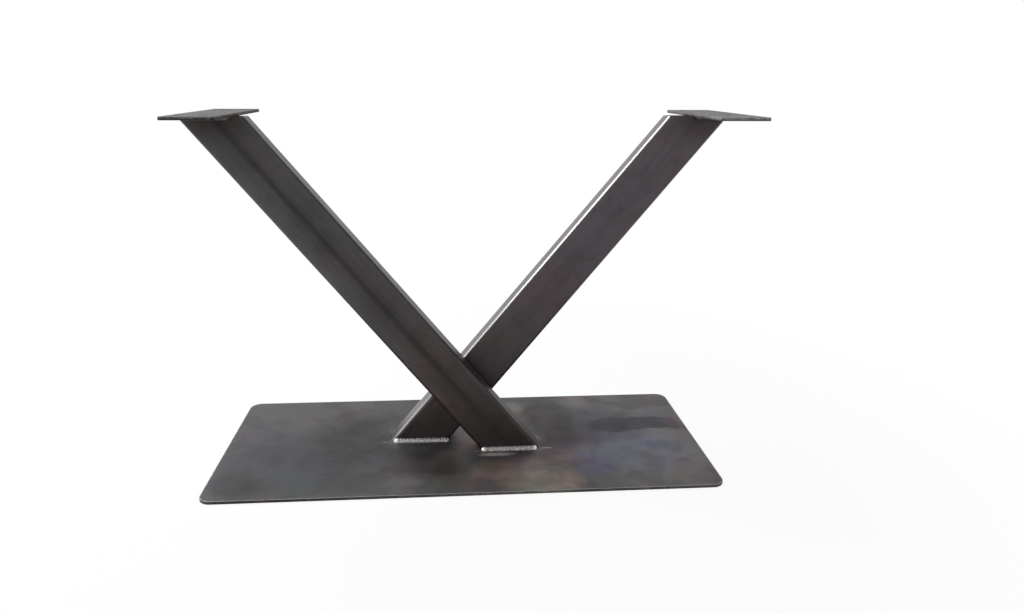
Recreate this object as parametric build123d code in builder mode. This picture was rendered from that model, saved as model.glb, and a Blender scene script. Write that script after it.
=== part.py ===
from build123d import *
import os
from math import hypot, sqrt

# A crossed steel table leg, welded up from rectangular tube and flat plate.
# Two tubes rise from the floor plate, cross side by side and end under two small plates
# that the table top is screwed to.
# The frame is Z up, X along the floor plate and the front at -Y, with the origin in the
# middle of the floor plate's underside. All sizes are in millimetres.

# Overall
overall_height = 445.0

# Floor plate
floor_plate_length = 630.0
floor_plate_width = 265.0
floor_plate_thickness = 4.0
floor_plate_corner_radius = 15.0

# Tubes, a rectangular hollow section with its wide face to the front
tube_width = 60.0
tube_depth = 30.0
tube_wall = 2.5
tube_corner_radius = 5.0
least_corner_radius = 0.5
seam_ridge_width = 2.2
seam_ridge_height = 0.8
seam_overlap = 0.4
foot_offset = 60.0
head_offset = 301.0

# Top plates, set a little towards +X of their tubes
top_plate_width = 60.0
top_plate_length = 210.0
top_plate_thickness = 4.0
top_plate_corner_radius = 4.0
top_plate_offset = 312.0
top_plate_shift = 8.0

# Screw holes, one near each corner of a top plate
screw_hole_diameter = 6.5
screw_row_spacing = 30.0
screw_end_spacing = 170.0

# Sharp edges taken off the plates
edge_break = 0.5

# Fillet welds, run out to the tube's underside at a foot and stopped short elsewhere
weld_leg = 5.0
weld_end_margin = 3.0
weld_under_margin = 0.0
ripple_pitch = 8.0
ripple_depth = 0.6
ripple_crest = 0.35

# Levels and directions that follow from the sizes
floor_plate_top = floor_plate_thickness
top_plate_underside = overall_height - top_plate_thickness
tube_rise = top_plate_underside - floor_plate_top
tube_run = head_offset + foot_offset
tube_length = hypot(tube_run, tube_rise)
cut_width = tube_width * tube_length / tube_rise
left_plate_x = -top_plate_offset + top_plate_shift
right_plate_x = top_plate_offset + top_plate_shift

# The front tube has its foot at +X and leans to the left.
# The rear tube is the same tube turned half round the Z axis.
FRONT = 1
REAR = -1


def tube_plane(side):
    """Plane square to the tube, far enough below the foot for the level cut."""
    foot = Vector(side * foot_offset, -side * tube_depth / 2, floor_plate_top)
    along = Vector(-side * tube_run, 0, tube_rise).normalized()
    across = Vector(side * tube_rise, 0, tube_run).normalized()
    return Plane(origin=foot - along * tube_width, x_dir=across, z_dir=along)


def tube_bar(side):
    """The tube's outer form as a solid bar, cut level at both ends."""
    with BuildPart() as bar:
        with BuildSketch(tube_plane(side)):
            RectangleRounded(tube_width, tube_depth, tube_corner_radius)
        extrude(amount=tube_length + 2 * tube_width)
        split(bisect_by=Plane.XY.offset(floor_plate_top), keep=Keep.TOP)
        split(bisect_by=Plane.XY.offset(top_plate_underside), keep=Keep.BOTTOM)
    return bar


def hollow_tube(side):
    """The tube, with the flash of its long seam left inside the outer wide face."""
    bore_width = tube_width - 2 * tube_wall
    bore_depth = tube_depth - 2 * tube_wall
    bore_radius = max(tube_corner_radius - tube_wall, least_corner_radius)
    seam_middle = -bore_depth / 2 + (seam_ridge_height - seam_overlap) / 2
    with BuildPart() as tube:
        add(tube_bar(side).part)
        with BuildSketch(tube_plane(side)):
            RectangleRounded(bore_width, bore_depth, bore_radius)
            with Locations((0, seam_middle)):
                Rectangle(seam_ridge_width, seam_ridge_height + seam_overlap, mode=Mode.SUBTRACT)
        extrude(amount=tube_length + 2 * tube_width, mode=Mode.SUBTRACT)
    return tube


def top_plate(middle_x):
    """Flat plate with rounded corners and four screw holes."""
    with BuildPart() as plate:
        with BuildSketch(Plane.XY.offset(top_plate_underside)):
            with Locations((middle_x, 0)):
                RectangleRounded(top_plate_width, top_plate_length, top_plate_corner_radius)
        extrude(amount=top_plate_thickness)
        chamfer(plate.faces().sort_by(Axis.Z)[0].outer_wire().edges(), edge_break)
        chamfer(plate.faces().sort_by(Axis.Z)[-1].outer_wire().edges(), edge_break)
        with Locations((middle_x, 0, overall_height)):
            with GridLocations(screw_row_spacing, screw_end_spacing, 2, 2):
                Hole(screw_hole_diameter / 2)
    return plate


def bead_radius(place, length):
    """Radius of the bead at a place along it, rounded off at both ends."""
    from_end = max(min(place, length - place), 0)
    if from_end >= weld_leg:
        return weld_leg
    return weld_leg * sqrt(1 - (1 - from_end / weld_leg) ** 2)


def fillet_weld(start_x, end_x, face_y, root_z, outward, upward, side):
    """Rippled bead along X in the corner between a plate and a wide face of a tube.

    Outward is the Y direction away from the face, and upward the Z direction away from
    the plate. The outline rises to a crest and falls to a valley at each ripple, and is
    turned about the root of the weld. The bead also fills the gap that the tube's rounded
    edge leaves at each end.
    """
    length = end_x - start_x
    count = max(3, round(length / ripple_pitch))
    pitch = length / count
    outline = [(0, 0)]
    for i in range(count):
        crest = (i + ripple_crest) * pitch
        valley = (i + 1) * pitch
        outline.append((crest, bead_radius(crest, length)))
        outline.append((valley, max(bead_radius(valley, length) - ripple_depth, 0)))
    level = Plane(origin=(start_x, face_y, root_z), x_dir=(1, 0, 0), z_dir=(0, 0, outward))
    with BuildPart() as bead:
        with BuildSketch(level):
            with BuildLine():
                Polyline(*outline, close=True)
            make_face()
        root = Axis((start_x, face_y, root_z), (outward * upward, 0, 0))
        revolve(axis=root, revolution_arc=180)
        add(tube_bar(side).part, mode=Mode.SUBTRACT)
    return bead


def foot_weld(side, outward):
    """Weld between the floor plate and one wide face of a tube."""
    middle = side * foot_offset
    under_x = middle - side * (cut_width / 2 - weld_under_margin)
    upper_x = middle + side * (cut_width / 2 - weld_end_margin)
    start_x = min(under_x, upper_x)
    end_x = max(under_x, upper_x)
    face_y = face_of(side, outward)
    return fillet_weld(start_x, end_x, face_y, floor_plate_top, outward, 1, side)


def head_weld(side, outward):
    """Weld under a top plate, only as long as plate and tube both reach."""
    tube_x = -side * head_offset
    plate_x = left_plate_x if side == FRONT else right_plate_x
    start_x = max(tube_x - cut_width / 2, plate_x - top_plate_width / 2) + weld_end_margin
    end_x = min(tube_x + cut_width / 2, plate_x + top_plate_width / 2) - weld_end_margin
    face_y = face_of(side, outward)
    return fillet_weld(start_x, end_x, face_y, top_plate_underside, outward, -1, side)


def face_of(side, outward):
    """Y of a tube's wide face. The two tubes touch in the plane Y = 0."""
    return -side * tube_depth / 2 + outward * tube_depth / 2


# Floor plate
with BuildPart() as floor_plate:
    with BuildSketch():
        RectangleRounded(floor_plate_length, floor_plate_width, floor_plate_corner_radius)
    extrude(amount=floor_plate_thickness)
    chamfer(floor_plate.faces().sort_by(Axis.Z)[0].outer_wire().edges(), edge_break)
    chamfer(floor_plate.faces().sort_by(Axis.Z)[-1].outer_wire().edges(), edge_break)

# Every piece under the name of its node
pieces = {
    "floor_plate": floor_plate,
    "front_tube": hollow_tube(FRONT),
    "rear_tube": hollow_tube(REAR),
    "left_top_plate": top_plate(left_plate_x),
    "right_top_plate": top_plate(right_plate_x),
}
for outward, place in ((-1, "front"), (1, "rear")):
    pieces[f"front_tube_foot_weld_{place}"] = foot_weld(FRONT, outward)
    pieces[f"rear_tube_foot_weld_{place}"] = foot_weld(REAR, outward)
    pieces[f"left_plate_weld_{place}"] = head_weld(FRONT, outward)
    pieces[f"right_plate_weld_{place}"] = head_weld(REAR, outward)

os.makedirs("parts", exist_ok=True)
for name, piece in pieces.items():
    piece.part.label = name
    export_step(piece.part, f"parts/{name}.step")
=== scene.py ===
"""A crossed steel table leg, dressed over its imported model.

The tubes and plates keep their solids and get raw steel materials. Each weld is replaced
by a finely rippled bead in the same place. Lengths are in metres, Z is up and the front is
at -Y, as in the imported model. Colours are linear, and a tone is a factor that a colour is
multiplied by.
"""
import math
import random

import bmesh
import bpy
from mathutils import Matrix, Vector


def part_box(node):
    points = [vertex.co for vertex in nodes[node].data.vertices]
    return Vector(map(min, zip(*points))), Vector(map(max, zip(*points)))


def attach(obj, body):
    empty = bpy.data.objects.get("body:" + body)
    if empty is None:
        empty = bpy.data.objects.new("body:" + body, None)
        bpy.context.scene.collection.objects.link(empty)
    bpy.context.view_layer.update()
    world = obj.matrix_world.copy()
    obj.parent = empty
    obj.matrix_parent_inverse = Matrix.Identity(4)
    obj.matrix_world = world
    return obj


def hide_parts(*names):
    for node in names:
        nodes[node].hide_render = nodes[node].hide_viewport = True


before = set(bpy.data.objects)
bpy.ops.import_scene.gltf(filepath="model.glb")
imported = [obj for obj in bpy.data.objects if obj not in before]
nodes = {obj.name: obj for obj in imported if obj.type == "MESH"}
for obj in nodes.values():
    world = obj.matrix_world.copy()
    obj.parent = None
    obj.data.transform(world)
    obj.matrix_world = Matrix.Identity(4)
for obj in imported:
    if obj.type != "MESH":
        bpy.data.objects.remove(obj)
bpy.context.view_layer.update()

foot_welds = [name for name in nodes if "foot_weld" in name]
left_welds = [name for name in nodes if name.startswith("left_plate_weld")]
right_welds = [name for name in nodes if name.startswith("right_plate_weld")]

# Camera, as an axis frame: where it stands and which way right, up and back are
CAMERA_PLACE = (-0.02646, -0.93364, 0.48770)
CAMERA_RIGHT = (0.99746, -0.07110, 0.00536)
CAMERA_UP = (0.00853, 0.19371, 0.98102)
CAMERA_BACK = (-0.07078, -0.97848, 0.19383)
CAMERA_LENS = 26.0343
CAMERA_SENSOR = 36.0
CAMERA_SHIFT = (0.015933, -0.080669)
CAMERA_NEAREST = 0.01

# Studio: a large soft light from above on the left, a little behind, and white surroundings
KEY_DIRECTION = (-0.67, 0.31, 0.675)
KEY_AIM = (0.0, 0.0, 0.2)
KEY_DISTANCE = 2.4
KEY_SIZE = (2.0, 1.5)
KEY_POWER = 68.0
WORLD_LEVEL = 0.32

# Studio floor: it lies just under the plate, and its glow hides its far part
FLOOR_REACH = 6.0
FLOOR_HEIGHT = -0.0002
FLOOR_PAINT = 0.92
FLOOR_GLOW_NEAR = 0.90
FLOOR_FADE = (0.40, 0.85)

# Tubes: half sizes of the section, and how far foot and head are from the middle
TUBE_HALF_WIDTH = 0.030
TUBE_HALF_DEPTH = 0.015
TUBE_CORNER = 0.005
TUBE_FOOT_OFFSET = 0.060
TUBE_HEAD_OFFSET = 0.301
TUBE_RUN = TUBE_HEAD_OFFSET + TUBE_FOOT_OFFSET
TUBE_RISE = 0.437
TUBE_LENGTH = math.hypot(TUBE_RUN, TUBE_RISE)

# Corner radii of the plates
FLOOR_CORNER = 0.015
TOP_CORNER = 0.004

# Weld beads: the ripples are skewed, bowed round the bead and uneven in place and depth.
# The shift is a share of the pitch, and the swell and the flattening are shares of the leg.
# Spare ripples lie past the ends, where the shifts and the bow may call for them.
RIPPLE_PITCH = 0.0042
RIPPLE_DEPTH = 0.00042
RIPPLE_DEPTH_SPREAD = (0.5, 1.3)
RIPPLE_SHIFT = 0.22
RIPPLE_SWELL = 0.06
RIPPLE_SKEW = 0.66
RIPPLE_BOW = 0.0018
RIPPLE_SAMPLES = 12
FEWEST_RIPPLES = 3
BEAD_SIDES = 18
BEAD_SINK = 0.0003
BEAD_FLATTENING = 0.08
END_STEPS = 10
SPARE_RIPPLES = 3
MERGE_DISTANCE = 2e-6

# Share of metal in each finish, and the fine speckle that plates and tubes have in common
PLATE_METALLIC = 0.62
TUBE_METALLIC = 0.75
WELD_METALLIC = 0.92
SPECKLE = {"scale": 900.0, "detail": 3.0, "roughness": 0.6}
SPECK_TONE = 1.30
PLATE_SPECKS = {"low": 0.60, "high": 0.72, "to_high": 0.6}
TUBE_SPECKS = {"low": 0.62, "high": 0.74, "to_high": 0.6}

# Ranges that the soft noise covers: nearly the whole of it, and most of a sheet's clouds
NOISE_RANGE = (0.3, 0.7)
CLOUD_RANGE = (0.36, 0.64)

# In what follows a fade is a pair of distances or shares: where a mark starts and where it
# is full. A waver is how far noise moves a mark about.

# Floor plate: greys of the mill scale, its blotches and the fine lines of rolling
SCALE_GREYS = (0.060, 0.092)
BLOTCH_TONE = 0.82
ROLLED_TONE = 0.92
ROLLED_STRETCH = (0.06, 1.0, 1.0)
FLOOR_ROUGHNESS = (0.40, 0.52)
SPECK_ROUGHNESS = 0.10

# Casts over the mill scale: which part of the noise, its scale, detail and distortion,
# the fade, and the tone
FLOOR_CASTS = (
    ((0.7, 0.2, 0.0), 13.0, 3.0, 0.8, (0.50, 0.62), (1.08, 1.00, 0.94)),
    ((0.1, 0.9, 0.0), 11.0, 3.0, 0.8, (0.48, 0.62), (0.96, 1.00, 1.08)),
    ((0.4, 0.5, 0.0), 17.0, 2.0, 0.5, (0.46, 0.62), (1.08, 0.94, 1.06)),
)

# Heat marks of the floor plate, by distance from the foot welds: a pale halo and a blue ring
FLOOR_HEAT_WAVER = 0.006
HALO_COLOUR = (0.140, 0.124, 0.118)
HALO_SHARE = 0.45
HALO_FADE = (0.016, 0.006)
RING_COLOUR = (0.070, 0.064, 0.096)
RING_SHARE = 0.20
RING_OUTER_FADE = (0.024, 0.018)
RING_INNER_FADE = (0.012, 0.018)

# Edge of the floor plate, by distance inside its outline: a ragged bright line along the
# upper edge, which is a painted highlight, the dark wall, and dark specks at both ends of the
# plate
EDGE_HIGHLIGHT_COLOUR = (0.30, 0.295, 0.285)
EDGE_HIGHLIGHT_SHARE = 0.65
EDGE_HIGHLIGHT_WAVER = 0.0030
EDGE_HIGHLIGHT_FADE = (0.0013, 0.0006)
EDGE_WALL_TONE = 0.5
EDGE_WALL_WIDTH = 0.0002
END_SPECK_TONE = 0.55
END_SPECK_WIDTH = 0.010
END_SPECK_FADE = (0.285, 0.305)

# Colour patches of the floor plate: middle and half size in metres, roundness of the
# outline (1 round, 0 square), softness of its edge, and the tone
FLOOR_PATCHES = (
    # The first patch, darker over the left part of the plate, is painted shade.
    ((-0.250, 0.000), (0.180, 0.200), 1.0, 0.60, (0.68, 0.68, 0.68)),
    ((-0.140, 0.016), (0.062, 0.062), 1.0, 0.55, (0.36, 0.33, 0.35)),
    ((0.122, 0.055), (0.036, 0.084), 0.8, 0.45, (0.31, 0.26, 0.29)),
    ((0.196, 0.040), (0.048, 0.060), 0.8, 0.50, (0.56, 0.57, 0.68)),
    ((0.150, 0.000), (0.050, 0.032), 1.0, 0.50, (0.82, 0.68, 0.80)),
    ((0.244, 0.032), (0.070, 0.018), 0.3, 0.16, (0.25, 0.25, 0.31)),
    ((0.300, 0.034), (0.014, 0.014), 1.0, 0.30, (2.60, 1.70, 2.00)),
    ((0.205, 0.100), (0.095, 0.032), 0.3, 0.25, (1.20, 1.22, 1.14)),
    ((0.073, 0.097), (0.017, 0.022), 0.6, 0.30, (1.45, 1.50, 1.32)),
    ((0.224, -0.044), (0.056, 0.048), 0.8, 0.45, (1.06, 1.16, 1.42)),
    ((0.290, -0.060), (0.032, 0.060), 1.0, 0.60, (1.22, 1.16, 1.20)),
    ((-0.262, -0.010), (0.060, 0.060), 0.8, 0.50, (0.76, 0.80, 0.90)),
    ((-0.205, -0.085), (0.046, 0.026), 0.8, 0.45, (0.86, 1.00, 1.06)),
    ((-0.280, -0.098), (0.036, 0.032), 1.0, 0.60, (0.46, 0.44, 0.48)),
    ((-0.130, -0.062), (0.050, 0.034), 1.0, 0.60, (0.84, 0.78, 0.84)),
    ((-0.180, 0.080), (0.060, 0.030), 1.0, 0.60, (1.06, 1.00, 0.94)),
    ((-0.056, -0.056), (0.048, 0.034), 0.8, 0.45, (0.42, 0.38, 0.42)),
    ((-0.024, -0.052), (0.024, 0.024), 0.9, 0.50, (1.65, 1.60, 1.30)),
    ((0.006, -0.004), (0.017, 0.027), 0.8, 0.40, (1.80, 1.25, 1.15)),
    ((0.030, -0.081), (0.028, 0.020), 0.9, 0.45, (2.05, 1.72, 1.50)),
    ((0.071, -0.060), (0.026, 0.018), 0.9, 0.45, (1.95, 1.55, 1.50)),
    ((0.084, -0.108), (0.045, 0.026), 0.8, 0.40, (1.85, 1.70, 1.42)),
    ((0.133, -0.108), (0.013, 0.020), 0.7, 0.35, (1.70, 1.30, 1.25)),
    ((0.118, -0.055), (0.028, 0.022), 0.8, 0.45, (1.15, 0.86, 0.88)),
    ((0.160, -0.070), (0.022, 0.028), 1.0, 0.50, (0.94, 0.94, 1.30)),
    ((-0.020, -0.108), (0.054, 0.024), 0.8, 0.50, (1.30, 1.34, 1.26)),
)

# Pale smears of spatter round the front beads: middle, half size and level
FLOOR_SMEARS = (
    ((0.042, -0.0425), (0.019, 0.0042), 0.85),
    ((0.1095, -0.0290), (0.0065, 0.0016), 0.30),
    ((0.0165, -0.0330), (0.0035, 0.0013), 0.30),
    ((-0.106, -0.0010), (0.0050, 0.0007), 0.30),
)
SMEAR_CAST = (1.0, 0.95, 0.88)
SMEAR_SOFTNESS = 0.6

# Noise that moves the patches and the smears about: scale, and twice the furthest move
PATCH_WARPS = ((80.0, 0.014), (16.0, 0.036))
SMEAR_WARP = (300.0, 0.003)

# Top plates: greys of the mill scale, and the marks on it
TOP_GREYS = (0.066, 0.124)
TOP_CAST = (0.97, 0.97, 1.06)
TOP_WARM_CAST = (1.10, 1.00, 0.96)
TOP_DARK_MOTTLE = 0.45
TOP_PALE_MOTTLE = 1.8
TOP_BURNT_COLOUR = (0.045, 0.036, 0.030)
TOP_BURNT_SHARE = 0.65
TOP_BURNT_FADE = (0.030, 0.012)
TOP_HEAT_WAVER = 0.012
TOP_ROUGHNESS = (0.58, 0.78)
TOP_POLISH = 0.22

# Sheared edge of the top plates: the wall with its lower half dark, painted shade with a
# brown cast on the right end, and the worn line along the upper and lower edges
TOP_WALL_WIDTH = 0.0003
TOP_WALL_MARGIN = 0.0008
TOP_LOWER_WALL_TONE = 0.9
TOP_RIGHT_END_SHADE_TONE = (0.55, 0.48, 0.44)
TOP_RIGHT_END_SHADE_FADE = (0.0010, 0.0004)
TOP_WORN_GREY = 0.16
TOP_WORN_FADE = (0.0010, 0.0006)

# What sets the two top plates apart: how light the sheet is, and the tone of the upper
# half of its sheared edge
LEFT_TOP_LIGHT = 0.28
LEFT_TOP_WALL_TONE = (4.00, 3.90, 3.90)
RIGHT_TOP_LIGHT = 0.74
RIGHT_TOP_WALL_TONE = (2.60, 2.50, 2.60)

# Tubes: greys across the wide face that has the seam, and across the other faces, by
# share of the width from the lower edge
SEAM_GREYS = (
    (0.00, 0.099), (0.10, 0.085), (0.30, 0.069), (0.44, 0.059), (0.48, 0.041),
    (0.53, 0.038), (0.55, 0.030), (0.575, 0.047), (0.64, 0.058), (0.80, 0.067),
    (1.00, 0.072),
)
PLAIN_GREYS = ((0.0, 0.071), (0.5, 0.069), (1.0, 0.076))

# Where the seam shows: on the outer wide face, by depth through the tube, and by share of
# the height from less clear at the foot to fully clear
SEAM_WAVER = 0.03
SEAM_FACE_FADE = (-0.0115, -0.0125)
SEAM_HEIGHT_FADE = (0.02, 0.24)
SEAM_CLEARNESS = (0.35, 1.0)

# Tubes: streaks along their length, and the casts and marks on them
STREAK_STRETCH = (0.05, 1.0, 1.0)
TUBE_WARM_CAST = (1.08, 0.97, 0.97)
TUBE_CLOUD_TONE = (0.90, 0.91, 0.93)
TUBE_BLOTCH_TONE = 0.88
TUBE_STREAK_TONE = 0.88
FOOT_CAST_WAVER = 0.3
FOOT_CAST_FADE = (0.75, 0.30)

# Heat marks of the tubes, by distance from the welds: blue at the foot, burnt at the head
TUBE_BLUE_COLOUR = (0.042, 0.036, 0.066)
TUBE_BLUE_SHARE = 0.5
TUBE_BLUE_FADE = (0.014, 0.008)
TUBE_BLUE_WAVER = 0.004
TUBE_BURNT_TONE = (0.76, 0.66, 0.61)
TUBE_BURNT_FADE = (0.060, 0.020)
TUBE_BURNT_WAVER = 0.030

# Roughness of the tubes: as rolled, where polished, and what soot at the foot and the
# rubbed edges add
TUBE_ROUGHNESS = (0.36, 0.46)
POLISHED_ROUGHNESS = (0.18, 0.24)
SOOT_ROUGHNESS = 0.16
SOOT_FADE = (0.40, 0.0)
RUBBED_ROUGHNESS = 0.05

# Where the rounded edges of a tube are rubbed and carry painted light: fades off the middle of
# its section
RUBBED_ACROSS = (0.0278, 0.0292)
RUBBED_DEEP = (0.0080, 0.0095)

# What sets the two tubes apart: casts towards the foot and the head, levels along the
# height, grey and polish of the rubbed edges, and polish of the whole narrow sides. The
# edge grey is painted light: a painted highlight on the rear tube and painted shade on the
# front one. The rear tube's levels dip just above the crossing as painted shade.
FRONT_TUBE_LOOK = {
    "foot_cast": (1.15, 0.94, 0.90),
    "head_cast": (1.04, 1.02, 1.05),
    "levels": (
        (0.00, 0.64), (0.20, 0.80), (0.45, 0.87), (0.57, 0.94), (0.69, 1.00), (0.81, 0.98),
        (0.93, 0.87), (1.00, 0.80),
    ),
    # Painted shade: the front tube's rounded edges darker than its faces.
    "edge_grey_painted_light": 0.022,
    "edge_polish": 0.2,
    "side_polish": 0.0,
}
REAR_TUBE_LOOK = {
    "foot_cast": (1.18, 0.94, 0.92),
    "head_cast": (1.15, 1.01, 1.12),
    # Painted shade: the dip from 0.18 to about 0.36 of the height, just above the crossing,
    # where the front tube shades this one.
    "levels": (
        (0.00, 1.00), (0.12, 1.00), (0.18, 0.55), (0.23, 0.56), (0.30, 0.72), (0.36, 0.84),
        (0.55, 0.93), (0.75, 1.00),
    ),
    # Painted highlight: the rear tube's rounded edges much paler than its faces.
    "edge_grey_painted_light": 0.34,
    "edge_polish": 1.0,
    "side_polish": 0.8,
}

# Weld metal: grey of each bead, for a foot weld with the grey of its bright ends, which are
# painted highlights. Those ends reach a few millimetres, and the core is the share of the
# reach that is fully bright.
FRONT_FOOT_WELD_GREYS = (0.26, 0.58)
REAR_FOOT_WELD_GREYS = (0.30, 0.64)
# Painted shade: the head welds, in the shade under the top plates, are greyed darker than the
# foot welds.
LEFT_HEAD_WELD_GREY = 0.17
RIGHT_HEAD_WELD_GREY = 0.09
WELD_GREY_SPREAD = (0.75, 1.3)
WELD_WARM_CAST = (1.06, 1.0, 0.92)
WELD_COOL_CAST = (0.94, 0.95, 1.08)
WELD_ROUGHNESS = (0.52, 0.40)
WELD_END_POLISH = 0.16
WELD_END_CORE = 0.4
START_REACH = 0.0070
END_REACH = 0.0060


def rgba(tone):
    """Opaque colour of a grey or of red, green and blue. A socket stays as it is."""
    if isinstance(tone, bpy.types.NodeSocket):
        return tone
    if isinstance(tone, float):
        return (tone, tone, tone, 1.0)
    return (*tone, 1.0)


class Graph:
    """A node tree with short calls for the nodes in it."""

    def __init__(self, tree):
        self.tree = tree

    def node(self, kind, inputs=None, **settings):
        """New node. Inputs are linked from sockets or set to plain values."""
        made = self.tree.nodes.new(kind)
        for key, value in settings.items():
            setattr(made, key, value)
        for socket, value in (inputs or {}).items():
            if isinstance(value, bpy.types.NodeSocket):
                self.tree.links.new(value, made.inputs[socket])
            else:
                made.inputs[socket].default_value = value
        return made

    def math(self, operation, a, b=0.0, clamp=False):
        made = self.node("ShaderNodeMath", {0: a, 1: b}, operation=operation, use_clamp=clamp)
        return made.outputs[0]

    def add(self, a, b):
        return self.math("ADD", a, b)

    def less(self, a, b):
        return self.math("SUBTRACT", a, b)

    def multiply(self, a, b):
        return self.math("MULTIPLY", a, b)

    def lowest(self, a, b):
        return self.math("MINIMUM", a, b)

    def highest(self, a, b):
        return self.math("MAXIMUM", a, b)

    def size(self, value):
        return self.math("ABSOLUTE", value)

    def vector(self, operation, a, b):
        """Vector maths that gives a vector."""
        made = self.node("ShaderNodeVectorMath", {0: a, 1: b}, operation=operation)
        return made.outputs["Vector"]

    def measure(self, operation, a, b=(0.0, 0.0, 0.0)):
        """Vector maths that gives a number."""
        made = self.node("ShaderNodeVectorMath", {0: a, 1: b}, operation=operation)
        return made.outputs["Value"]

    def position(self):
        return self.node("ShaderNodeTexCoord").outputs["Object"]

    def split(self, vector):
        return self.node("ShaderNodeSeparateXYZ", {0: vector}).outputs

    def join(self, x, y, z):
        return self.node("ShaderNodeCombineXYZ", {0: x, 1: y, 2: z}).outputs[0]

    def noise(self, vector, scale, detail, roughness=0.5, distortion=0.0, offset=None, output=0):
        """Soft noise from 0 to 1, about one feature in 1/scale metres.

        An offset takes another part of the same noise.
        """
        if offset is not None:
            vector = self.vector("ADD", vector, offset)
        inputs = {
            "Vector": vector,
            "Scale": scale,
            "Detail": detail,
            "Roughness": roughness,
            "Distortion": distortion,
        }
        return self.node("ShaderNodeTexNoise", inputs).outputs[output]

    def warp(self, vector, scale, reach):
        """The same place moved about by soft noise, up to half the reach each way."""
        noise = self.noise(vector, scale, detail=3.0, output=1)
        push = self.vector("SUBTRACT", noise, (0.5, 0.5, 0.5))
        return self.vector("ADD", vector, self.vector("MULTIPLY", push, (reach, reach, reach)))

    def between(self, value, low, high, to_low=0.0, to_high=1.0):
        """Smooth step of a value from low to high, scaled to to_low and to_high."""
        inputs = {0: value, 1: low, 2: high, 3: to_low, 4: to_high}
        made = self.node("ShaderNodeMapRange", inputs, interpolation_type="SMOOTHSTEP")
        return made.outputs[0]

    def profile(self, value, stops):
        """Piecewise grey of a value from 0 to 1."""
        made = self.node("ShaderNodeValToRGB", {0: value})
        points = made.color_ramp.elements
        while len(points) < len(stops):
            points.new(0.5)
        for point, (place, grey) in zip(points, stops):
            point.position = place
            point.color = rgba(grey)
        return made.outputs[0]

    def blend(self, factor, low, high):
        """Number low where the factor is 0 and number high where it is 1."""
        made = self.node("ShaderNodeMix", {0: factor, 2: low, 3: high}, data_type="FLOAT")
        return made.outputs[0]

    def cover(self, factor, colour, over):
        """Colour with another one laid over it, as far as the factor says."""
        inputs = {0: factor, 6: rgba(colour), 7: rgba(over)}
        return self.node("ShaderNodeMix", inputs, data_type="RGBA").outputs[2]

    def tint(self, factor, colour, tone):
        """Colour multiplied by a tone, as far as the factor says."""
        inputs = {0: factor, 6: rgba(colour), 7: rgba(tone)}
        made = self.node("ShaderNodeMix", inputs, data_type="RGBA", blend_type="MULTIPLY")
        return made.outputs[2]

    def bump(self, height, distance, normal=None):
        inputs = {"Strength": 1.0, "Distance": distance, "Height": height}
        if normal is not None:
            inputs["Normal"] = normal
        return self.node("ShaderNodeBump", inputs).outputs[0]


class Shader(Graph):
    """The node tree of a new material."""

    def __init__(self, name):
        self.material = bpy.data.materials.new(name)
        self.material.use_nodes = True
        super().__init__(self.material.node_tree)
        self.tree.nodes.clear()
        self.output = self.tree.nodes.new("ShaderNodeOutputMaterial")

    def surface(self, socket):
        """Use a shader's output as the material's surface."""
        self.tree.links.new(socket, self.output.inputs["Surface"])
        return self.material

    def finish(self, colour, roughness, normal, metallic):
        """Join it all up in the Principled shader."""
        inputs = {
            "Base Color": colour,
            "Roughness": roughness,
            "Normal": normal,
            "Metallic": metallic,
        }
        return self.surface(self.node("ShaderNodeBsdfPrincipled", inputs).outputs[0])


def outline_depth(shader, place, node, corner):
    """How far inside a plate's rounded outline a point is, seen from above."""
    low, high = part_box(node)
    middle = ((low.x + high.x) / 2, (low.y + high.y) / 2, 0.0)
    half_x = (high.x - low.x) / 2 - corner
    half_y = (high.y - low.y) / 2 - corner
    parts = shader.split(shader.vector("SUBTRACT", place, middle))
    over_x = shader.less(shader.size(parts[0]), half_x)
    over_y = shader.less(shader.size(parts[1]), half_y)
    past_x = shader.highest(over_x, 0.0)
    past_y = shader.highest(over_y, 0.0)
    squares = shader.add(shader.multiply(past_x, past_x), shader.multiply(past_y, past_y))
    outside = shader.math("SQRT", squares)
    inside = shader.lowest(shader.highest(over_x, over_y), 0.0)
    return shader.less(corner, shader.add(outside, inside))


def patch(shader, place, middle, half, roundness, softness):
    """1 inside a patch seen from above and 0 outside it, with a soft edge between."""
    moved = shader.vector("SUBTRACT", place, (middle[0], middle[1], 0.0))
    scaled = shader.vector("MULTIPLY", moved, (1.0 / half[0], 1.0 / half[1], 0.0))
    round_reach = shader.measure("LENGTH", scaled)
    parts = shader.split(scaled)
    square_reach = shader.highest(shader.size(parts[0]), shader.size(parts[1]))
    round_part = shader.multiply(round_reach, roundness)
    reach = shader.add(round_part, shader.multiply(square_reach, 1.0 - roundness))
    return shader.between(reach, 1.0 + softness, 1.0 - softness)


def weld_root(name):
    """Where a weld's root line runs, and which way the bead stands off it.

    The middle is where the tube's middle line meets the weld's plate, and the lean is how
    far that line moves along X for each metre off the plate.
    """
    low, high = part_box(name)
    foot = "foot" in name
    on_front_tube = name.startswith(("front_tube", "left_plate"))
    side = 1.0 if on_front_tube else -1.0
    outward = -1.0 if name.endswith("_front") else 1.0
    tube_low, tube_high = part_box("front_tube" if on_front_tube else "rear_tube")
    return {
        "start_x": low.x,
        "end_x": high.x,
        "face_y": tube_low.y if outward < 0 else tube_high.y,
        "root_z": low.z if foot else high.z,
        "outward": outward,
        "upward": 1.0 if foot else -1.0,
        "leg": high.z - low.z,
        "middle_x": side * TUBE_FOOT_OFFSET if foot else -side * TUBE_HEAD_OFFSET,
        "lean": (-side if foot else side) * TUBE_RUN / TUBE_RISE,
    }


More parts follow.
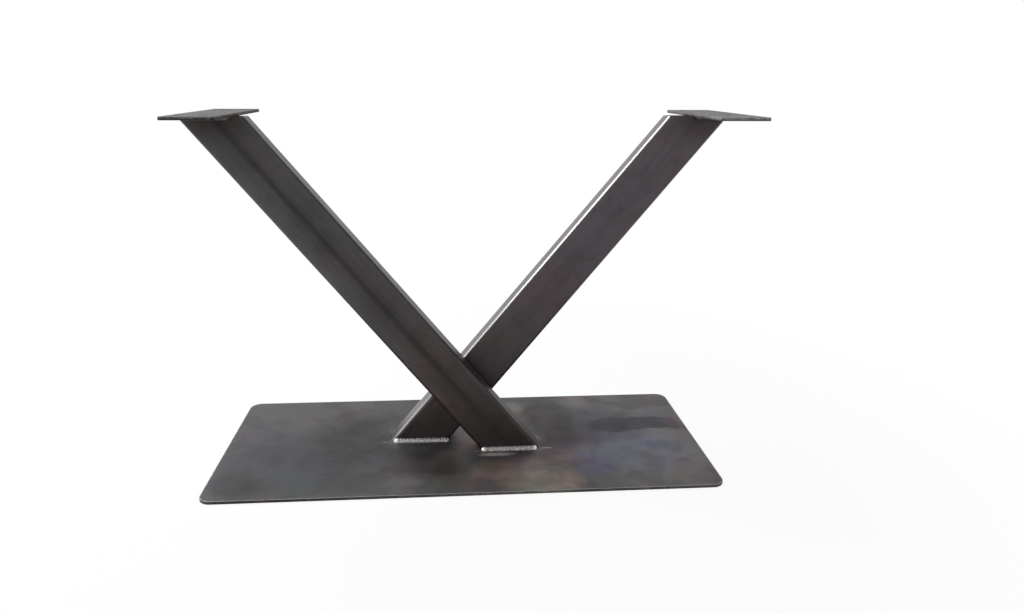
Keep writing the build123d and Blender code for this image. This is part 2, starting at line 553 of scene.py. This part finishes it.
def line_distance(shader, place, root):
    """Distance of a point from a weld's root line."""
    x = shader.split(place)[0]
    clamped = shader.lowest(shader.highest(x, root["start_x"]), root["end_x"])
    nearest = shader.join(clamped, root["face_y"], root["root_z"])
    return shader.measure("DISTANCE", place, nearest)


def weld_distance(shader, place, welds):
    """Distance of a point from the nearest of the named welds."""
    nearest = None
    for name in welds:
        away = line_distance(shader, place, weld_root(name))
        nearest = away if nearest is None else shader.lowest(nearest, away)
    return nearest


def mill_scale(shader, place, cloud, blotch):
    """Colour of the floor plate's mill scale, cloudy with warm, cool and violet casts."""
    colour = shader.cover(shader.between(cloud, *CLOUD_RANGE), *SCALE_GREYS)
    for offset, scale, detail, distortion, fade, tone in FLOOR_CASTS:
        cast = shader.noise(place, scale, detail, distortion=distortion, offset=offset)
        colour = shader.tint(shader.between(cast, *fade), colour, tone)
    colour = shader.tint(shader.between(blotch, 0.46, 0.62), colour, BLOTCH_TONE)
    warped = place
    for scale, reach in PATCH_WARPS:
        warped = shader.warp(warped, scale, reach)
    for middle, half, roundness, softness, tone in FLOOR_PATCHES:
        inside = patch(shader, warped, middle, half, roundness, softness)
        colour = shader.tint(inside, colour, tone)
    return colour


def weld_marks(shader, place, blotch, colour):
    """Colour with a pale halo, a faint blue ring and smears of spatter at the foot welds."""
    away = weld_distance(shader, place, foot_welds)
    heat = shader.add(away, shader.multiply(blotch, FLOOR_HEAT_WAVER))
    halo = shader.between(heat, *HALO_FADE)
    colour = shader.cover(shader.multiply(halo, HALO_SHARE), colour, HALO_COLOUR)
    outer = shader.between(heat, *RING_OUTER_FADE)
    inner = shader.between(heat, *RING_INNER_FADE)
    ring = shader.multiply(outer, inner)
    colour = shader.cover(shader.multiply(ring, RING_SHARE), colour, RING_COLOUR)
    spatter = shader.noise(place, scale=700.0, detail=2.0)
    grains = shader.between(spatter, 0.35, 0.60, to_low=0.3, to_high=0.9)
    wavering = shader.warp(place, *SMEAR_WARP)
    for middle, half, level in FLOOR_SMEARS:
        inside = patch(shader, wavering, middle, half, 1.0, SMEAR_SOFTNESS)
        smear = tuple(level * part for part in SMEAR_CAST)
        colour = shader.cover(shader.multiply(inside, grains), colour, smear)
    return colour


def floor_edge(shader, place, colour):
    """Colour with a ragged painted highlight along the upper edge, a chipped dark wall and
    specked ends.
    """
    edge = outline_depth(shader, place, "floor_plate", FLOOR_CORNER)
    chips_and_highlight_gaps = shader.noise(place, scale=190.0, detail=4.0, roughness=0.6)
    ragged = shader.add(edge, shader.multiply(shader.less(chips_and_highlight_gaps, 0.5), EDGE_HIGHLIGHT_WAVER))
    line = shader.between(ragged, *EDGE_HIGHLIGHT_FADE)
    edge_line = shader.multiply(line, shader.between(edge, 0.0, EDGE_WALL_WIDTH))
    # Painted highlight: a pale line along the upper edge, broken up by the same noise that chips
    # the wall.
    colour = shader.cover(shader.multiply(edge_line, EDGE_HIGHLIGHT_SHARE), colour, EDGE_HIGHLIGHT_COLOUR)
    wall = shader.between(edge, EDGE_WALL_WIDTH, 0.0)
    chipped_wall = shader.multiply(wall, shader.between(chips_and_highlight_gaps, 0.60, 0.45))
    colour = shader.tint(chipped_wall, colour, EDGE_WALL_TONE)
    near_edge = shader.between(edge, END_SPECK_WIDTH, 0.0)
    specks = shader.multiply(shader.between(chips_and_highlight_gaps, 0.56, 0.62), near_edge)
    far_out = shader.between(shader.size(shader.split(place)[0]), *END_SPECK_FADE)
    return shader.tint(shader.multiply(specks, far_out), colour, END_SPECK_TONE)


def floor_steel():
    """Hot-rolled sheet: dark mill scale in cloudy patches, a painted highlight along its edges,
    heated by its welds.
    """
    shader = Shader("floor_plate_steel")
    place = shader.position()
    cloud = shader.noise(place, scale=7.0, detail=5.0, roughness=0.55, distortion=0.6)
    blotch = shader.noise(place, scale=24.0, detail=4.0, distortion=0.4)
    speck = shader.noise(place, **SPECKLE)
    drawn = shader.vector("MULTIPLY", place, ROLLED_STRETCH)
    rolled = shader.noise(drawn, scale=420.0, detail=3.0, roughness=0.55)

    colour = mill_scale(shader, place, cloud, blotch)
    lines = shader.between(rolled, 0.40, 0.70, to_high=0.5)
    colour = shader.tint(lines, colour, ROLLED_TONE)
    specks = shader.between(speck, **PLATE_SPECKS)
    colour = shader.tint(specks, colour, SPECK_TONE)
    colour = weld_marks(shader, place, blotch, colour)
    colour = floor_edge(shader, place, colour)

    rough = shader.between(blotch, *NOISE_RANGE, *FLOOR_ROUGHNESS)
    speckled = shader.multiply(shader.less(speck, 0.5), SPECK_ROUGHNESS)
    rough = shader.add(rough, speckled)
    fine = shader.bump(speck, distance=0.00006)
    grain = shader.bump(rolled, distance=0.00005, normal=fine)
    normal = shader.bump(cloud, distance=0.0010, normal=grain)
    return shader.finish(colour, rough, normal, PLATE_METALLIC)


def top_steel(node, light, wall_tone, welds):
    """Small sheet plate: mottled mill scale, dark sheared edges, browned over its welds.

    Light scales the greys of the sheet and smooths it, and the wall tone is that of the
    upper half of its sheared edge.
    """
    shader = Shader(node + "_steel")
    place = shader.position()
    cloud = shader.noise(place, scale=16.0, detail=4.0, roughness=0.55, distortion=0.6)
    mottle = shader.noise(place, scale=210.0, detail=4.0, roughness=0.65, distortion=0.3)
    warm = shader.noise(place, scale=30.0, detail=3.0, distortion=0.8, offset=(0.7, 0.2, 0.0))
    speck = shader.noise(place, **SPECKLE)
    dark, pale = (grey * light for grey in TOP_GREYS)
    colour = shader.cover(shader.between(cloud, *CLOUD_RANGE), dark, pale)
    colour = shader.tint(1.0, colour, TOP_CAST)
    colour = shader.tint(shader.between(warm, 0.48, 0.62), colour, TOP_WARM_CAST)
    colour = shader.tint(shader.between(mottle, 0.52, 0.66), colour, TOP_DARK_MOTTLE)
    colour = shader.tint(shader.between(mottle, 0.46, 0.34), colour, TOP_PALE_MOTTLE)
    specks = shader.between(speck, **PLATE_SPECKS)
    colour = shader.tint(specks, colour, SPECK_TONE)

    away = weld_distance(shader, place, welds)
    heat = shader.add(away, shader.multiply(cloud, TOP_HEAT_WAVER))
    burnt = shader.multiply(shader.between(heat, *TOP_BURNT_FADE), TOP_BURNT_SHARE)
    colour = shader.cover(burnt, colour, TOP_BURNT_COLOUR)

    low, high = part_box(node)
    parts = shader.split(place)
    edge = outline_depth(shader, place, node, TOP_CORNER)
    upper_half = shader.between(parts[2], low.z + TOP_WALL_MARGIN, high.z - TOP_WALL_MARGIN)
    wall = shader.cover(upper_half, TOP_LOWER_WALL_TONE, wall_tone)
    colour = shader.tint(shader.between(edge, TOP_WALL_WIDTH, 0.0), colour, wall)
    # Painted shade on the right end, which faces away from the light: darker and browner.
    end_start, end_full = (high.x - distance for distance in TOP_RIGHT_END_SHADE_FADE)
    past_end = shader.between(parts[0], end_start, end_full)
    colour = shader.tint(past_end, colour, TOP_RIGHT_END_SHADE_TONE)
    inner = shader.between(edge, *TOP_WORN_FADE)
    edge_line = shader.multiply(inner, shader.between(edge, 0.0, TOP_WALL_WIDTH))
    worn = shader.multiply(edge_line, shader.between(mottle, 0.40, 0.60))
    colour = shader.cover(worn, colour, TOP_WORN_GREY)

    smooth, coarse = (roughness - TOP_POLISH * light for roughness in TOP_ROUGHNESS)
    rough = shader.between(mottle, *NOISE_RANGE, smooth, coarse)
    fine = shader.bump(speck, distance=0.00006)
    normal = shader.bump(mottle, distance=0.00025, normal=fine)
    return shader.finish(colour, rough, normal, PLATE_METALLIC)


def tube_steel(name, side, look, head_welds):
    """Rolled tube: dark, with the blued band of its seam, and browned towards the foot.

    Side is 1 for the tube with its foot on the right and -1 for the other one.
    """
    shader = Shader(name)
    place = shader.position()
    foot = (side * TUBE_FOOT_OFFSET, -side * TUBE_HALF_DEPTH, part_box("floor_plate")[1].z)
    from_foot = shader.vector("SUBTRACT", place, foot)
    cosine = TUBE_RUN / TUBE_LENGTH
    sine = TUBE_RISE / TUBE_LENGTH
    along = shader.measure("DOT_PRODUCT", from_foot, (-side * cosine, 0.0, sine))
    across = shader.measure("DOT_PRODUCT", from_foot, (side * sine, 0.0, cosine))
    depth = shader.multiply(shader.split(from_foot)[1], float(side))
    height = shader.multiply(along, 1.0 / TUBE_LENGTH)

    own = shader.join(along, across, depth)
    stretched = shader.vector("MULTIPLY", own, STREAK_STRETCH)
    streak = shader.noise(stretched, scale=230.0, detail=4.0, roughness=0.6)
    cloud = shader.noise(own, scale=14.0, detail=4.0, roughness=0.55, distortion=0.5)
    blotch = shader.noise(own, scale=40.0, detail=3.0, distortion=0.6)
    warm = shader.noise(own, scale=11.0, detail=3.0, distortion=0.4, offset=(0.3, 0.1, 0.2))
    speck = shader.noise(own, **SPECKLE)

    share = shader.add(shader.multiply(across, 0.5 / TUBE_HALF_WIDTH), 0.5)
    wavy = shader.add(share, shader.multiply(shader.less(cloud, 0.5), SEAM_WAVER))
    seamed = shader.profile(wavy, SEAM_GREYS)
    plain = shader.profile(wavy, PLAIN_GREYS)
    seam_face = shader.between(depth, *SEAM_FACE_FADE)
    clear_seam = shader.between(height, *SEAM_HEIGHT_FADE, *SEAM_CLEARNESS)
    colour = shader.cover(shader.multiply(seam_face, clear_seam), plain, seamed)
    colour = shader.tint(1.0, colour, shader.profile(height, look["levels"]))
    wavering_height = shader.add(height, shader.multiply(warm, FOOT_CAST_WAVER))
    towards_foot = shader.between(wavering_height, *FOOT_CAST_FADE)
    colour = shader.tint(towards_foot, colour, look["foot_cast"])
    colour = shader.tint(shader.less(1.0, towards_foot), colour, look["head_cast"])
    colour = shader.tint(shader.between(warm, 0.46, 0.62), colour, TUBE_WARM_CAST)
    colour = shader.tint(shader.between(cloud, 0.42, 0.62), colour, TUBE_CLOUD_TONE)
    colour = shader.tint(shader.between(blotch, 0.50, 0.64), colour, TUBE_BLOTCH_TONE)
    streaks = shader.between(streak, 0.35, 0.70, to_high=0.6)
    colour = shader.tint(streaks, colour, TUBE_STREAK_TONE)
    specks = shader.between(speck, **TUBE_SPECKS)
    colour = shader.tint(specks, colour, SPECK_TONE)

    wide = shader.between(shader.size(across), *RUBBED_ACROSS)
    deep = shader.between(shader.size(depth), *RUBBED_DEEP)
    worn = shader.multiply(wide, deep)
    # Painted light on the rounded edges: a highlight on the rear tube and shade on the front
    # one.
    rubbed = shader.multiply(worn, shader.between(streak, 0.25, 0.60, to_low=0.6))
    colour = shader.cover(rubbed, colour, look["edge_grey_painted_light"])

    foot_away = weld_distance(shader, place, foot_welds)
    foot_heat = shader.add(foot_away, shader.multiply(cloud, TUBE_BLUE_WAVER))
    blue = shader.multiply(shader.between(foot_heat, *TUBE_BLUE_FADE), TUBE_BLUE_SHARE)
    colour = shader.cover(blue, colour, TUBE_BLUE_COLOUR)
    head_away = weld_distance(shader, place, head_welds)
    head_heat = shader.add(head_away, shader.multiply(cloud, TUBE_BURNT_WAVER))
    colour = shader.tint(shader.between(head_heat, *TUBE_BURNT_FADE), colour, TUBE_BURNT_TONE)

    rough = shader.between(streak, *NOISE_RANGE, *TUBE_ROUGHNESS)
    sooted = shader.multiply(shader.between(height, *SOOT_FADE), SOOT_ROUGHNESS)
    rough = shader.add(rough, sooted)
    burnished = shader.between(streak, *NOISE_RANGE, *POLISHED_ROUGHNESS)
    bright_edges = shader.multiply(worn, look["edge_polish"])
    bright_sides = shader.multiply(wide, look["side_polish"])
    rough = shader.blend(shader.highest(bright_edges, bright_sides), rough, burnished)
    rough = shader.add(rough, shader.multiply(worn, RUBBED_ROUGHNESS))
    fine = shader.bump(speck, distance=0.00005)
    normal = shader.bump(streak, distance=0.00004, normal=fine)
    return shader.finish(colour, rough, normal, TUBE_METALLIC)


def weld_metal(name, grey, end_highlight_grey=None, ends=()):
    """Bare weld bead: semi-bright, darker with oxide, with painted highlights where it starts
    and stops.

    Each end is its X and how far from it the bead is brighter.
    """
    shader = Shader(name)
    place = shader.position()
    oxide = shader.noise(place, scale=420.0, detail=4.0, roughness=0.6, distortion=0.5)
    patches = shader.noise(place, scale=140.0, detail=3.0)
    speck = shader.noise(place, scale=2600.0, detail=3.0, roughness=0.6)
    dark, pale = (grey * spread for spread in WELD_GREY_SPREAD)
    colour = shader.cover(shader.between(oxide, 0.38, 0.62), dark, pale)
    colour = shader.tint(shader.between(patches, 0.50, 0.66), colour, WELD_WARM_CAST)
    colour = shader.tint(shader.between(patches, 0.48, 0.34), colour, WELD_COOL_CAST)
    rough = shader.between(oxide, *NOISE_RANGE, *WELD_ROUGHNESS)
    x = shader.split(place)[0]
    bright = None
    for end_x, reach in ends:
        away = shader.size(shader.less(x, end_x))
        near = shader.between(away, reach, reach * WELD_END_CORE)
        bright = near if bright is None else shader.highest(bright, near)
    # Painted highlights at the ends: a paler grey and a smoother finish.
    if bright is not None:
        colour = shader.cover(bright, colour, end_highlight_grey)
        rough = shader.less(rough, shader.multiply(bright, WELD_END_POLISH))
    fine = shader.bump(speck, distance=0.00004)
    normal = shader.bump(oxide, distance=0.00010, normal=fine)
    return shader.finish(colour, rough, normal, WELD_METALLIC)


def end_share(place, length, leg):
    """Share of the full radius at a place along a bead with round ends."""
    from_end = min(place, length - place)
    if from_end >= leg:
        return 1.0
    return math.sqrt(max(0.0, 1 - (1 - from_end / leg) ** 2))


def ripple_count(length):
    return max(FEWEST_RIPPLES, round(length / RIPPLE_PITCH))


def bead_places(length, leg):
    """Places of the rings along a bead: even in the middle, closer at the round ends."""
    step = length / ripple_count(length) / RIPPLE_SAMPLES
    places = [leg * (1 - math.cos(math.pi / 2 * k / END_STEPS)) for k in range(END_STEPS)]
    middle = leg
    while middle < length - leg:
        places.append(middle)
        middle += step
    places += [length - place for place in reversed(places[:END_STEPS])]
    return places


def bead_radius(name, length, leg):
    """Function for the radius at a place along a bead and a share of the way round it."""
    rng = random.Random(name)
    count = ripple_count(length)
    pitch = length / count
    shifts = (-RIPPLE_SHIFT, RIPPLE_SHIFT)
    starts = [(i + rng.uniform(*shifts)) * pitch for i in range(count + SPARE_RIPPLES)]
    depths = [RIPPLE_DEPTH * rng.uniform(*RIPPLE_DEPTH_SPREAD) for _ in starts]
    swells = [rng.uniform(0.0, RIPPLE_SWELL) for _ in starts]

    def radius(place, turn):
        bow = RIPPLE_BOW * (1 - (2 * turn - 1) ** 2)
        moved = place - bow + pitch
        index = 0
        while index + 2 < len(starts) and starts[index + 1] < moved:
            index += 1
        width = starts[index + 1] - starts[index]
        share = min(max((moved - starts[index]) / width, 0.0), 1.0)
        hump = math.sin(math.pi * share ** RIPPLE_SKEW)
        swell = swells[index] * (1 - share) + swells[index + 1] * share
        flat = BEAD_FLATTENING * math.sin(math.pi * min(turn, 1.0)) ** 2
        full = leg * (1 - swell - flat)
        return (full - depths[index] * (1 - hump)) * end_share(place, length, leg)

    return radius


def face_gap(root, x, height):
    """How far the tube's rounded edge lies behind its face, at a height off a weld's plate."""
    middle = root["middle_x"] + root["lean"] * height
    from_edge = TUBE_HALF_WIDTH - abs(x - middle) * TUBE_RISE / TUBE_LENGTH
    short = min(max(TUBE_CORNER - from_edge, 0.0), TUBE_CORNER)
    return TUBE_CORNER - math.sqrt(TUBE_CORNER ** 2 - short ** 2)


def bead_ring(root, radius, place):
    """Points round a bead at one place: one inside the corner, then along its outside.

    The bead is sunk a little into plate and tube, and reaches in behind the tube's
    rounded edge.
    """
    x = root["start_x"] + place
    back_reach = radius(place, 1.0)
    sunk = math.asin(min(1.0, BEAD_SINK / max(radius(place, 0.0), BEAD_SINK)))
    behind = face_gap(root, x, back_reach) + BEAD_SINK
    past = math.asin(min(1.0, behind / max(back_reach, BEAD_SINK)))
    inner = min(face_gap(root, x, 0.0) + BEAD_SINK, back_reach)
    inner_y = root["face_y"] - root["outward"] * inner
    inner_z = root["root_z"] - root["upward"] * min(BEAD_SINK, back_reach)
    ring = [(x, inner_y, inner_z)]
    for k in range(BEAD_SIDES + 1):
        angle = -sunk + k / BEAD_SIDES * (math.pi / 2 + past + sunk)
        reach = radius(place, min(max(angle / (math.pi / 2), 0.0), 1.0))
        y = root["face_y"] + root["outward"] * reach * math.cos(angle)
        z = root["root_z"] + root["upward"] * reach * math.sin(angle)
        ring.append((x, y, z))
    return ring


def build_bead(name, steel):
    """One rippled bead in place of a weld node, as a closed mesh."""
    root = weld_root(name)
    leg = root["leg"]
    length = root["end_x"] - root["start_x"]
    radius = bead_radius(name, length, leg)
    mesh = bmesh.new()
    rings = []
    for place in bead_places(length, leg):
        rings.append([mesh.verts.new(point) for point in bead_ring(root, radius, place)])
    around = len(rings[0])
    for first, second in zip(rings, rings[1:]):
        for k in range(around):
            after = (k + 1) % around
            mesh.faces.new((first[k], second[k], second[after], first[after]))
    mesh.faces.new(rings[0])
    mesh.faces.new(list(reversed(rings[-1])))
    bmesh.ops.remove_doubles(mesh, verts=mesh.verts, dist=MERGE_DISTANCE)
    bmesh.ops.recalc_face_normals(mesh, faces=mesh.faces)
    for face in mesh.faces:
        face.smooth = True
    data = bpy.data.meshes.new(name + "_bead")
    mesh.to_mesh(data)
    mesh.free()
    data.materials.append(steel)
    bead = bpy.data.objects.new(name + "_bead", data)
    bpy.context.scene.collection.objects.link(bead)
    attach(bead, "root")
    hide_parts(name)


def build_foot_weld(name):
    """Bead at the foot of a tube, with painted highlights at its ends."""
    root = weld_root(name)
    ends = ((root["start_x"], START_REACH), (root["end_x"], END_REACH))
    on_front_tube = name.startswith("front_tube")
    greys = FRONT_FOOT_WELD_GREYS if on_front_tube else REAR_FOOT_WELD_GREYS
    build_bead(name, weld_metal(name + "_steel", *greys, ends))


def dress(node, material):
    """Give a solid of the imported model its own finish."""
    for slot in nodes[node].material_slots:
        slot.material = material


def place_camera():
    """Camera at the photograph's place and frame."""
    data = bpy.data.cameras.new("camera")
    data.sensor_width = CAMERA_SENSOR
    data.lens = CAMERA_LENS
    data.shift_x, data.shift_y = CAMERA_SHIFT
    data.clip_start = CAMERA_NEAREST
    camera = bpy.data.objects.new("camera", data)
    turned = Matrix((CAMERA_RIGHT, CAMERA_UP, CAMERA_BACK)).transposed().to_4x4()
    camera.matrix_world = Matrix.Translation(CAMERA_PLACE) @ turned
    bpy.context.scene.collection.objects.link(camera)
    bpy.context.scene.camera = camera


def place_key_light():
    """Rectangular soft light aimed at the middle of the object."""
    data = bpy.data.lights.new("key", "AREA")
    data.shape = "RECTANGLE"
    data.size, data.size_y = KEY_SIZE
    data.energy = KEY_POWER
    light = bpy.data.objects.new("key", data)
    toward = Vector(KEY_DIRECTION).normalized()
    light.location = Vector(KEY_AIM) + toward * KEY_DISTANCE
    light.rotation_mode = "QUATERNION"
    light.rotation_quaternion = (-toward).to_track_quat("-Z", "Y")
    light.visible_camera = False
    bpy.context.scene.collection.objects.link(light)


def seen_rays(graph):
    """1 for camera, glossy and transmission rays, and 0 for the rays that carry light."""
    path = graph.node("ShaderNodeLightPath").outputs
    glossy = graph.add(path["Is Camera Ray"], path["Is Glossy Ray"])
    return graph.math("ADD", glossy, path["Is Transmission Ray"], clamp=True)


def make_world():
    """White surroundings where they are seen, dimmer where they light the object."""
    world = bpy.data.worlds.new("studio")
    bpy.context.scene.world = world
    world.use_nodes = True
    graph = Graph(world.node_tree)
    level = graph.node("ShaderNodeMapRange", {0: seen_rays(graph), 3: WORLD_LEVEL, 4: 1.0})
    background = world.node_tree.nodes["Background"]
    background.inputs["Color"].default_value = rgba(1.0)
    world.node_tree.links.new(level.outputs[0], background.inputs["Strength"])


def make_floor():
    """White floor that keeps a soft shadow near the object and fades into the background."""
    mesh = bmesh.new()
    bmesh.ops.create_grid(mesh, x_segments=1, y_segments=1, size=FLOOR_REACH)
    data = bpy.data.meshes.new("floor")
    mesh.to_mesh(data)
    mesh.free()
    floor = bpy.data.objects.new("floor", data)
    floor.location.z = FLOOR_HEIGHT
    bpy.context.scene.collection.objects.link(floor)
    shader = Shader("floor_white")
    away = shader.measure("LENGTH", shader.position())
    fade = shader.between(away, *FLOOR_FADE, FLOOR_GLOW_NEAR, 1.0)
    factor = shader.multiply(seen_rays(shader), fade)
    paint = shader.node("ShaderNodeBsdfDiffuse", {"Color": rgba(FLOOR_PAINT)}).outputs[0]
    glow = shader.node("ShaderNodeEmission", {"Color": rgba(1.0), "Strength": 1.0}).outputs[0]
    both = shader.node("ShaderNodeMixShader", {0: factor, 1: paint, 2: glow}).outputs[0]
    data.materials.append(shader.surface(both))


bpy.context.scene.view_settings.view_transform = "Standard"
place_camera()
make_world()
place_key_light()
make_floor()

dress("floor_plate", floor_steel())
left_steel = top_steel("left_top_plate", LEFT_TOP_LIGHT, LEFT_TOP_WALL_TONE, left_welds)
dress("left_top_plate", left_steel)
right_steel = top_steel("right_top_plate", RIGHT_TOP_LIGHT, RIGHT_TOP_WALL_TONE, right_welds)
dress("right_top_plate", right_steel)
dress("front_tube", tube_steel("front_tube_steel", 1, FRONT_TUBE_LOOK, left_welds))
dress("rear_tube", tube_steel("rear_tube_steel", -1, REAR_TUBE_LOOK, right_welds))

for weld in foot_welds:
    build_foot_weld(weld)
for weld in left_welds:
    build_bead(weld, weld_metal(weld + "_steel", LEFT_HEAD_WELD_GREY))
for weld in right_welds:
    build_bead(weld, weld_metal(weld + "_steel", RIGHT_HEAD_WELD_GREY))
